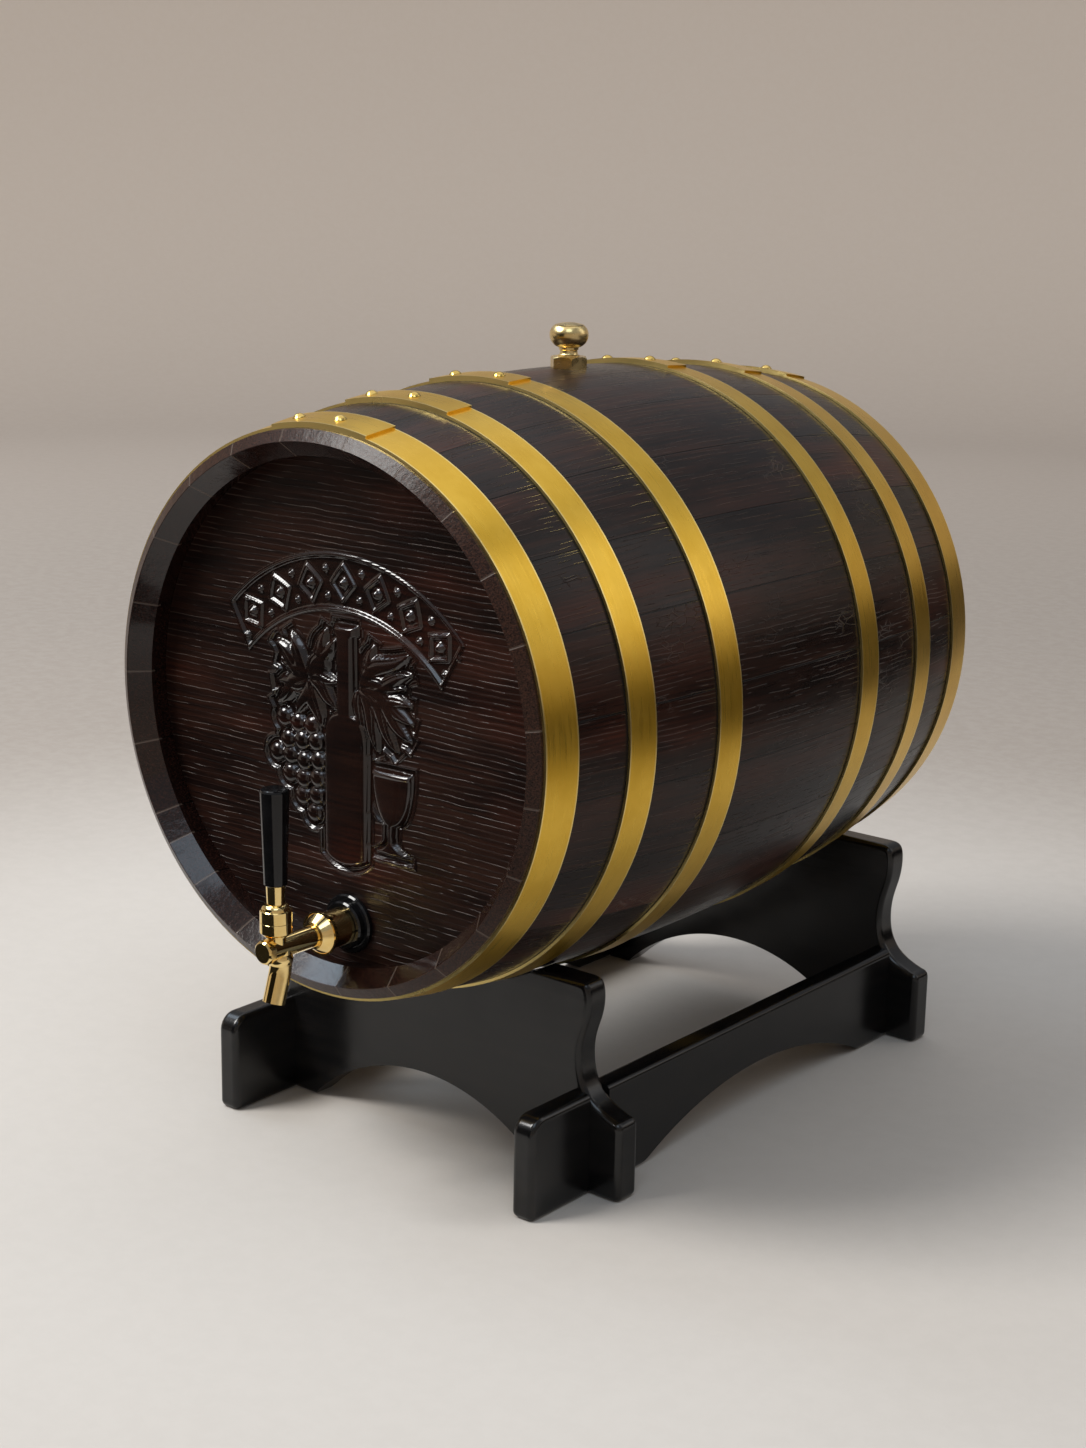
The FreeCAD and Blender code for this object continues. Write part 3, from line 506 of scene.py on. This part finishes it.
# Banner: middle and radius of its arcs, corners of its end, and the ornament on it
BANNER_OUTER = (0.0, -33.0, 118.0)
BANNER_INNER = (0.0, -41.0, 95.4)
BANNER_TIP_OUT = (85.0, 48.6)
BANNER_TIP_IN = (70.0, 23.0)
LOZENGE_ANGLE = math.radians(13.2)
LOZENGE_HALF = (8.2, 9.4)
BOSS_RADIUS = 3.1
PEARL_RADIUS = 1.9
PEARL_AWAY = 7.2

# Bottle: its middle line, heights and half widths
BOTTLE_X = 2.5
BOTTLE_TOP = 47.5
BOTTLE_SHOULDER = -3.0
BOTTLE_FOOT = -80.0
BOTTLE_BODY = 15.6
BOTTLE_NECK = 7.0

# Grapes: radius and spacing, and each row's height, middle and count
GRAPE_RADIUS = 5.9
GRAPE_PITCH = 10.4
GRAPE_ROWS = ((-11.0, -33.5, 3), (-21.0, -30.5, 3), (-31.0, -34.0, 4), (-41.0, -29.5, 3),
              (-51.0, -25.0, 2), (-61.0, -21.5, 1))

# Goblet: its middle line, and the heights of its parts
GOBLET_X = 35.5
GOBLET_TOP = -26.0
GOBLET_RING = -28.6
GOBLET_STEM = -56.0
GOBLET_SPREAD = -64.0
GOBLET_FOOT = -72.5


def banner_distance(x, z):
    """Ribbon between two arcs, cut off by a slanted end on each side."""
    outer = disc(x, z, *BANNER_OUTER)
    inner = -disc(x, z, *BANNER_INNER)
    edge = (BANNER_TIP_OUT[0] - BANNER_TIP_IN[0], BANNER_TIP_OUT[1] - BANNER_TIP_IN[1])
    normal = (edge[1], -edge[0])
    reach = (BANNER_TIP_OUT[0] * normal[0] + BANNER_TIP_OUT[1] * normal[1]) / math.hypot(*normal)
    ends = slab(np.abs(x), z, normal, reach)
    return np.maximum(np.maximum(outer, inner), ends)


def banner_relief(x, z):
    """Bare ribbon with a rim, and a row of lozenges with pearls between them."""
    distance = banner_distance(x, z)
    height = -1.3 * smooth_rise(distance + 1.6, 1.2) + 1.3 * ridge(distance + 0.8, 0.9)
    middle_z = (BANNER_OUTER[1] + BANNER_INNER[1]) / 2
    middle_radius = (BANNER_OUTER[2] + BANNER_INNER[2]) / 2 - 0.5
    angle = np.arctan2(x, z - middle_z)
    across = np.hypot(x, z - middle_z) - middle_radius
    for k in range(-3, 4):
        along = (angle - k * LOZENGE_ANGLE) * middle_radius
        lozenge = (np.abs(along) / LOZENGE_HALF[0] + np.abs(across) / LOZENGE_HALF[1] - 1) * 6.0
        height = height + 2.0 * ridge(lozenge, 0.95)
        boss = np.hypot(along, across) - BOSS_RADIUS
        height = np.maximum(height, 1.9 * smooth_rise(boss, 2.6) - 1.2 * (boss > 0))
    for k in range(-4, 4):
        along = (angle - (k + 0.5) * LOZENGE_ANGLE) * middle_radius
        for side in (-1, 1):
            pearl = np.hypot(along, across - side * PEARL_AWAY) - PEARL_RADIUS
            height = np.maximum(height, 1.4 * smooth_rise(pearl, 1.7) - 1.3 * (pearl > 0))
    return np.where(distance < 3.0, height, 0.0), distance


def bottle_half_width(z):
    """Half width at a height: body, round shoulder, neck and lip."""
    shoulder = np.clip((BOTTLE_SHOULDER + 2 - z) / 15.0, 0, 1)
    body = BOTTLE_NECK - 0.7 + (BOTTLE_BODY - BOTTLE_NECK + 0.7) * np.sqrt(1 - (1 - shoulder) ** 2)
    lip = np.where((z > BOTTLE_TOP - 5.5) & (z < BOTTLE_TOP), BOTTLE_NECK + 0.9, 0.0)
    return np.maximum(body, lip)


def bottle_relief(x, z):
    """Rounded bottle with a raised edge and a bowed foot."""
    half = bottle_half_width(z)
    dx = x - BOTTLE_X
    floor = BOTTLE_FOOT - 5.0 * (1 - (dx / BOTTLE_BODY) ** 2)
    distance = np.maximum(np.maximum(np.abs(dx) - half, z - BOTTLE_TOP), floor - z)
    crown = np.sqrt(np.clip(1 - np.abs(dx / (half + 0.6)) ** 2.6, 0, 1))
    height = 1.0 + 3.0 * crown * smooth_rise(distance, 2.2) + 0.6 * ridge(distance + 1.0, 0.6)
    return height, distance


def grape_centres():
    """Middles of the grapes, in rows that are a little uneven."""
    centres = []
    for z, middle, count in GRAPE_ROWS:
        for k in range(count):
            x = middle + (k - (count - 1) / 2) * GRAPE_PITCH
            centres.append((x, z + 1.2 * math.sin(k * 2.1 + z)))
    return centres


def grape_relief(x, z):
    """A dome for each grape."""
    height = np.full_like(x, -9.0)
    distance = np.full_like(x, 99.0)
    for cx, cz in grape_centres():
        away = disc(x, z, cx, cz, GRAPE_RADIUS)
        dome = np.sqrt(np.clip(GRAPE_RADIUS ** 2 - (away + GRAPE_RADIUS) ** 2, 0, None)) * 0.72 - 0.4
        height = np.maximum(height, np.where(away < 0, dome, -9.0))
        distance = np.minimum(distance, away)
    return height, distance


def blade_relief(x, z, base, tip, width, bend):
    """One bent blade of a leaf, rounded across, with a groove beside each edge."""
    ax, az = base
    length = math.hypot(tip[0] - ax, tip[1] - az)
    ux, uz = (tip[0] - ax) / length, (tip[1] - az) / length
    s = ((x - ax) * ux + (z - az) * uz) / length
    d = (x - ax) * -uz + (z - az) * ux
    t = np.clip(s, 0, 1)
    d = d - bend * (np.sin(math.pi * t) + 0.6 * np.sin(2 * math.pi * t))
    half = width * np.power(np.sin(math.pi * np.power(t, 0.75)), 0.8) + 0.01
    distance = np.maximum(np.abs(d) - half, np.maximum(-s, s - 1) * length)
    share = np.clip(np.abs(d) / half, 0, 1)
    height = 1.0 + 2.2 * np.sqrt(1 - share ** 2) * np.sqrt(half / width) - 0.7 * ridge(d - 0.45 * half, 0.5)
    return height * smooth_rise(distance, 0.9), distance


# Leaves: where their blades start, and each blade's start, tip, half width and bend
LEFT_LEAF = (-24.0, 14.5)
RIGHT_LEAF = (12.5, 15.0)
BLADES = ((LEFT_LEAF, (-49.0, 31.8), 5.4, 2.5),
          (LEFT_LEAF, (-38.6, 37.0), 4.9, 1.5),
          (LEFT_LEAF, (-12.8, 42.4), 5.9, -2.5),
          (LEFT_LEAF, (-6.2, 37.5), 4.9, 2.0),
          (LEFT_LEAF, (-46.3, 21.3), 3.9, -2.0),
          (LEFT_LEAF, (-49.0, 9.0), 4.9, 2.5),
          (LEFT_LEAF, (-49.0, -2.4), 5.6, -3.0),
          (LEFT_LEAF, (-34.0, -8.0), 5.6, 2.0),
          (LEFT_LEAF, (-16.0, -10.0), 5.6, -1.5),
          (LEFT_LEAF, (-5.0, 1.5), 4.9, 2.0),
          (LEFT_LEAF, (-4.0, 16.0), 4.1, 1.5),
          (RIGHT_LEAF, (21.6, 38.3), 5.1, -2.5),
          (RIGHT_LEAF, (46.6, 37.6), 5.4, 3.5),
          (RIGHT_LEAF, (47.5, 27.0), 4.9, -2.5),
          (RIGHT_LEAF, (43.0, 19.5), 4.4, 2.5),
          (RIGHT_LEAF, (47.5, 11.0), 5.1, -3.0),
          (RIGHT_LEAF, (48.5, 1.5), 5.1, 3.5),
          (RIGHT_LEAF, (47.5, -8.0), 5.1, 4.5),
          (RIGHT_LEAF, (38.5, -15.0), 5.1, 4.0),
          (RIGHT_LEAF, (25.0, -17.0), 4.9, 2.5),
          (RIGHT_LEAF, (14.0, -10.0), 4.1, -1.0))


def goblet_relief(x, z):
    """Round bowl with a ring below its lip, on a stem that spreads into a foot."""
    down = np.clip((GOBLET_TOP - z) / (GOBLET_TOP - GOBLET_STEM), 0, 1)
    bowl = 11.8 * np.sqrt(np.clip(1 - down ** 2.2, 0, 1)) + 2.2
    stem = 2.2 + 10.5 * np.clip((GOBLET_SPREAD - z) / 7.0, 0, 1) ** 2
    half = np.where(z > GOBLET_STEM, bowl, stem)
    dx = x - GOBLET_X
    distance = np.maximum(np.abs(dx) - half, np.maximum(z - GOBLET_TOP, GOBLET_FOOT - z))
    crown = np.sqrt(np.clip(1 - (dx / (half + 0.4)) ** 2, 0, 1))
    ring = 0.7 * ridge(z - GOBLET_RING, 0.8) * (distance < 0)
    return (0.8 + 2.6 * crown) * smooth_rise(distance, 1.4) + ring, distance


def carving(x, z):
    """Height of the carved head's face above its plane, and distance to the carved part's edge."""
    banner, banner_edge = banner_relief(x, z)
    shapes = [blade_relief(x, z, *blade) for blade in BLADES]
    leaf = np.minimum.reduce([edge for _, edge in shapes]) - 1.2
    shapes.append((1.5 * smooth_rise(leaf, 1.6), leaf))
    shapes += [grape_relief(x, z), goblet_relief(x, z), bottle_relief(x, z)]
    group = np.minimum.reduce([edge for _, edge in shapes]) - 3.6
    group = np.maximum(group, 2.4 - banner_edge)
    height = -1.6 * smooth_rise(group, 1.4) + 0.8 * ridge(group - 0.2, 0.8)
    for shape, edge in shapes:
        height = np.where(edge < 0, np.maximum(height, shape - 0.9), height)
    return np.where(banner_edge < 2.0, banner, height), np.minimum(group - 1.5, banner_edge - 0.5)


def head_grid(count):
    """Points of a square grid drawn onto the head's disc, closer together near its middle."""
    t = np.linspace(-1, 1, count)
    u = 0.7 * t + 0.3 * t ** 3
    a, b = np.meshgrid(u, u, indexing="ij")
    x = a * np.sqrt(1 - b ** 2 / 2)
    z = b * np.sqrt(1 - a ** 2 / 2)
    radius = HEAD_RADIUS / MM
    return x * radius, z * radius


# The head's edge: full thickness, then a bevel down to the tongue that sits in the croze groove
HEAD_GRID = 381
HEAD_EDGE = 5.8 * MM
BEVEL_DEPTH = 3.0 * MM
BEVEL_INSET = 5.0 * MM


def head_rings(edge):
    """Rings that go back from the rim of the head's face, behind its bevel."""
    rings = []
    for depth, inset in ((HEAD_EDGE, 0.0), (HEAD_EDGE + BEVEL_DEPTH, BEVEL_INSET),
                         (HEAD_BACK - HEAD_FACE, BEVEL_INSET)):
        ring = edge.copy()
        ring[:, 1] = HEAD_FACE + depth
        share = (HEAD_RADIUS - inset) / HEAD_RADIUS
        ring[:, 0] *= share
        ring[:, 2] = AXIS_Z + (ring[:, 2] - AXIS_Z) * share
        rings.append(ring)
    return rings


def carved_head():
    """One solid head with the relief in its face, in place of the flat one."""
    x, z = head_grid(HEAD_GRID)
    height, edge_away = carving(x, z)
    front = np.stack([x * MM, HEAD_FACE - height * MM, AXIS_Z + z * MM], axis=-1).reshape(-1, 3)
    index = np.arange(HEAD_GRID * HEAD_GRID).reshape(HEAD_GRID, HEAD_GRID)
    corners = [index[:-1, :-1], index[1:, :-1], index[1:, 1:], index[:-1, 1:]]
    quads = np.stack(corners, axis=-1).reshape(-1, 4)
    rim = np.concatenate([index[:-1, 0], index[-1, :-1], index[1:, -1][::-1], index[0, 1:][::-1]])
    rings = head_rings(front[rim])
    loops = [rim] + [len(front) + k * len(rim) + np.arange(len(rim)) for k in range(len(rings))]
    faces = [tuple(quad) for quad in quads]
    for near, far in zip(loops[:-1], loops[1:]):
        for k in range(len(rim)):
            following = (k + 1) % len(rim)
            faces.append((near[following], near[k], far[k], far[following]))
    faces.append(tuple(loops[-1][::-1]))

    mesh = bpy.data.meshes.new("carved_head")
    points = np.concatenate([front] + rings).tolist()
    mesh.from_pydata(points, [], [tuple(int(i) for i in face) for face in faces])
    mesh.update()
    piece = bpy.data.objects.new("carved_head", mesh)
    bpy.context.collection.objects.link(piece)
    outward = bmesh.new()
    outward.from_mesh(mesh)
    bmesh.ops.recalc_face_normals(outward, faces=outward.faces)
    outward.to_mesh(mesh)
    outward.free()
    mesh.polygons.foreach_set("use_smooth", [len(face.vertices) == 4 for face in mesh.polygons])

    wear(piece, head_oak("oak_front_head", 41.0))
    mesh.materials.append(carved_oak("carved_oak", 41.0))
    carved = np.zeros(len(mesh.polygons), dtype=np.int32)
    carved[:len(quads)] = edge_away[:-1, :-1].reshape(-1) < 0
    mesh.polygons.foreach_set("material_index", carved)
    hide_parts("front_head")
    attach(piece, "cask")


# Camera, at the photo's viewing angle

PHOTO_HEIGHT = 1448
FOCAL_PIXELS = 2368.18
CAMERA_PLACE = Vector((0.850127, -1.069257 + AXIS_Y, 0.568286))
CAMERA_YAW = 0.6799
CAMERA_PITCH = 0.2474
CAMERA_ROLL = 0.0168


def make_camera():
    data = bpy.data.cameras.new("camera")
    data.sensor_fit = "VERTICAL"
    data.sensor_height = 36.0
    data.lens = FOCAL_PIXELS / PHOTO_HEIGHT * data.sensor_height
    data.clip_end = 50
    camera = bpy.data.objects.new("camera", data)
    bpy.context.collection.objects.link(camera)
    forward = Vector((-math.sin(CAMERA_YAW) * math.cos(CAMERA_PITCH),
                      math.cos(CAMERA_YAW) * math.cos(CAMERA_PITCH), -math.sin(CAMERA_PITCH)))
    level = Vector((math.cos(CAMERA_YAW), math.sin(CAMERA_YAW), 0))
    above = level.cross(forward)
    right = level * math.cos(CAMERA_ROLL) + above * math.sin(CAMERA_ROLL)
    up = above * math.cos(CAMERA_ROLL) - level * math.sin(CAMERA_ROLL)
    turn = Matrix((right, up, -forward)).transposed()
    camera.matrix_world = Matrix.Translation(CAMERA_PLACE) @ turn.to_4x4()
    bpy.context.scene.camera = camera


# Stage

STAGE_RADIUS = 3.2
STAGE_BEND = 1.4
STAGE_HEIGHT = 2.0
BEND_STEPS = 16
ROUND_STEPS = 96

PAPER = (0.520, 0.488, 0.452)
PAPER_CLOUD = (0.545, 0.512, 0.475)
PAPER_SPECK = (0.70, 0.66, 0.62)
# Distances from the middle between which the paper changes to another colour: painted shade in a ring round
# the object, and painted light farther out on the floor and backdrop, where the lamps light it less
PAPER_SHADE_AND_LIGHT_RINGS = ((0.35, 1.00, (0.345, 0.305, 0.270)), (1.3, 3.1, (0.50, 0.440, 0.388)),
               (3.1, 4.3, (0.61, 0.535, 0.465)))

CARD_BLACK = (0.012, 0.011, 0.010)
CARD_FOOT = 0.004
# Dark cards: corners on the floor, and the height of those that stand
CARDS = (("card_front_floor", ((-2.9, -0.37), (0.25, -0.37), (0.25, -3.0), (-2.9, -3.0)), None),
         ("card_front", ((-2.9, -2.9), (0.6, -2.9)), 1.5),
         ("card_back_floor", ((0.85, 0.45), (0.40, 1.15), (0.30, 3.0), (3.0, 0.3)), None),
         ("card_right", ((2.9, 0.5), (1.9, 2.2)), 0.5),
         ("card_back", ((1.9, 2.2), (0.3, 2.9)), 0.5))


def stage_paper():
    """Pale paper, with painted shade in a ring round the object and painted light far away."""
    finish = Finish("studio_paper")
    x, y, _ = finish.axes()
    cloud = finish.noise(finish.stretched(1.1, 1.1, 1.1), 4.0, 0.6)
    speck = finish.noise(finish.stretched(70, 70, 70), 4.0, 0.7)
    reach = finish.hypotenuse(x, y)
    colour = finish.blend(finish.fade(cloud, 0.3, 0.7), PAPER, PAPER_CLOUD)
    # Painted shade in a ring round the object, then painted light farther out, for the fall-off of the
    # lamps' light
    for near, far, ring in PAPER_SHADE_AND_LIGHT_RINGS:
        colour = finish.blend(finish.fade(reach, near, far), colour, ring)
    colour = finish.blend(finish.fade(speck, 0.35, 0.65, 0.0, 0.07), colour, PAPER_SPECK)
    finish.set(Base_Color=colour, Roughness=0.9, Specular_IOR_Level=0.1)
    return finish.material


def make_stage():
    """A pale floor that curves up into a backdrop all the way round."""
    profile = [(STAGE_RADIUS, 0.0)]
    for k in range(1, BEND_STEPS + 1):
        angle = math.pi / 2 * k / BEND_STEPS
        profile.append((STAGE_RADIUS + STAGE_BEND * math.sin(angle), STAGE_BEND * (1 - math.cos(angle))))
    profile.append((STAGE_RADIUS + STAGE_BEND, STAGE_HEIGHT))
    turns = [2 * math.pi * k / ROUND_STEPS for k in range(ROUND_STEPS)]
    mesh = bmesh.new()
    rings = []
    for radius, height in profile:
        rings.append([mesh.verts.new((radius * math.cos(turn), radius * math.sin(turn), height))
                      for turn in turns])
    mesh.faces.new(rings[0])
    for low, high in zip(rings[:-1], rings[1:]):
        for k in range(ROUND_STEPS):
            following = (k + 1) % ROUND_STEPS
            mesh.faces.new((low[k], high[k], high[following], low[following]))
    bmesh.ops.recalc_face_normals(mesh, faces=mesh.faces)
    for face in mesh.faces:
        face.smooth = True
    data = bpy.data.meshes.new("studio_floor")
    mesh.to_mesh(data)
    mesh.free()
    floor = bpy.data.objects.new("studio_floor", data)
    bpy.context.collection.objects.link(floor)
    wear(floor, stage_paper())


def dark_card(name, corners):
    """Black card that only shows in reflections, as the unlit side of a studio does."""
    mesh = bpy.data.meshes.new(name)
    mesh.from_pydata(corners, [], [(0, 1, 2, 3)])
    card = bpy.data.objects.new(name, mesh)
    bpy.context.collection.objects.link(card)
    card.visible_camera = False
    card.visible_diffuse = False
    card.visible_shadow = False
    finish = Finish(name)
    finish.set(Base_Color=CARD_BLACK, Roughness=0.9, Specular_IOR_Level=0.0)
    wear(card, finish.material)


def make_cards():
    for name, ground, height in CARDS:
        corners = [(x, y, CARD_FOOT) for x, y in ground]
        if height:
            corners += [(x, y, height) for x, y in reversed(ground)]
        dark_card(name, corners)


# Light

WORLD_COLOUR = (0.95, 0.96, 1.0)
WORLD_STRENGTH = 0.32
# Area lamps: name, place, the point that they face, width and length, watts and colour
LAMPS = (("key", (-1.6, -2.1, 3.1), (0, 0, 0.2), (1.5, 1.5), 148, (1.0, 0.985, 0.96)),
         ("window", (-1.85, -0.35, 2.4), (0, 0, 0.3), (1.0, 1.0), 15, (0.72, 0.86, 1.0)),
         ("front", (1.0, -1.3, 2.4), (0, 0, 0.3), (1.2, 1.2), 11, (0.68, 0.84, 1.0)),
         ("right", (1.7, 1.6, 1.75), (0.1, 0, 0.3), (1.1, 1.8), 5.6, (1.0, 0.97, 0.93)),
         ("top", (-0.6, 0.5, 2.7), (-0.6, 0.5, 0), (3.0, 3.4), 20, (0.98, 0.985, 1.0)))


def area_light(name, place, aim, size, power, colour):
    data = bpy.data.lights.new(name, "AREA")
    data.energy = power
    data.color = colour
    data.shape = "RECTANGLE"
    data.size, data.size_y = size
    light = bpy.data.objects.new(name, data)
    bpy.context.collection.objects.link(light)
    light.location = place
    light.rotation_euler = (Vector(aim) - Vector(place)).to_track_quat("-Z", "Y").to_euler()


def make_light():
    world = bpy.data.worlds.new("studio")
    bpy.context.scene.world = world
    world.use_nodes = True
    background = world.node_tree.nodes["Background"]
    background.inputs["Color"].default_value = (*WORLD_COLOUR, 1)
    background.inputs["Strength"].default_value = WORLD_STRENGTH
    for lamp in LAMPS:
        area_light(*lamp)


dress_cask()
dress_fittings()
carved_head()
make_stage()
make_cards()
make_light()
make_camera()
bpy.context.scene.view_settings.view_transform = "Standard"
